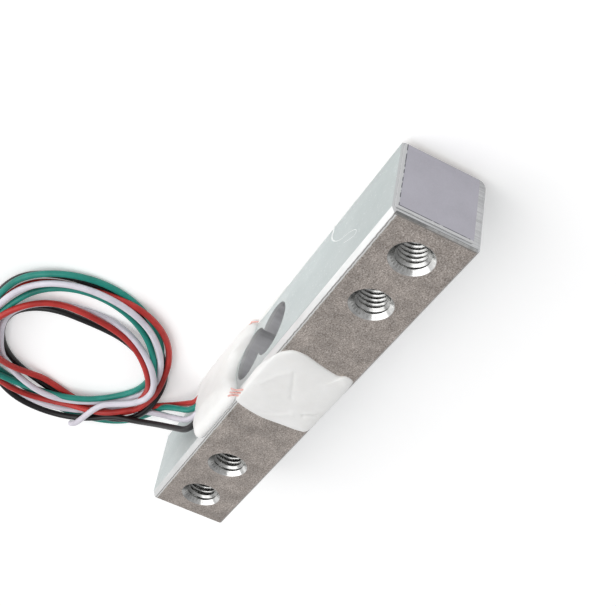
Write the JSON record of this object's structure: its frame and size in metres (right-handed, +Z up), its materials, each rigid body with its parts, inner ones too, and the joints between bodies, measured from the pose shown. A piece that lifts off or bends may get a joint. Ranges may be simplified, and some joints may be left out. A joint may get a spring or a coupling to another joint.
{
  "type": "single point load cell",
  "caption": "Square aluminium bar load cell with a binocular hole, tapped mounting holes, silicone-covered gauges and a loose coil of coloured leads.",
  "frame": {"origin": "centre of the flat underside of the lower silicone pad, on which the cell stands when it lies free, below the middle of the bar", "axes": "+X along the bar from the fixed end to the loaded end, +Y out of the side that carries the leads, +Z up, against the load"},
  "size_m": [0.0869, 0.0497, 0.0143],
  "materials": {
    "bar_aluminium": "matt sand-grained aluminium with brighter machined edges",
    "silicone": "soft white silicone sealant, satin",
    "enamelled_wire": "reddish clear enamel over fine copper",
    "board_laminate": "bare glass-fibre laminate",
    "copper": "thin copper pads",
    "tinned_copper": "tinned copper strands",
    "solder": "bright solder",
    "coil_insulation": "four coloured leads coiled together",
    "insulation_black": "soft black insulation",
    "insulation_white": "soft white insulation",
    "insulation_green": "soft green insulation",
    "insulation_red": "soft red insulation",
    "polyimide_film": "amber film",
    "constantan_foil": "etched resistance foil",
    "label_film": "pale lilac-grey printed film"
  },
  "bodies": {
    "root": {"bottom_silicone": "silicone", "end_label": "label_film", "gauge_backing_bottom_fixed": "polyimide_film", "gauge_backing_bottom_loaded": "polyimide_film", "gauge_backing_top_fixed": "polyimide_film", "gauge_backing_top_loaded": "polyimide_film", "gauge_grid_bottom_fixed": "constantan_foil", "gauge_grid_bottom_loaded": "constantan_foil", "gauge_grid_top_fixed": "constantan_foil", "gauge_grid_top_loaded": "constantan_foil", "jumpers_bottom": "enamelled_wire", "jumpers_top": "enamelled_wire", "lead_black": "insulation_black", "lead_coil": "coil_insulation", "lead_cores": "tinned_copper", "lead_green": "insulation_green", "lead_red": "insulation_red", "lead_white": "insulation_white", "side_silicone": "silicone", "solder_joints": "solder", "spring_element": "bar_aluminium", "terminal_board": "board_laminate", "terminal_pads": "copper", "top_silicone": "silicone"}
  },
  "joints": []
}
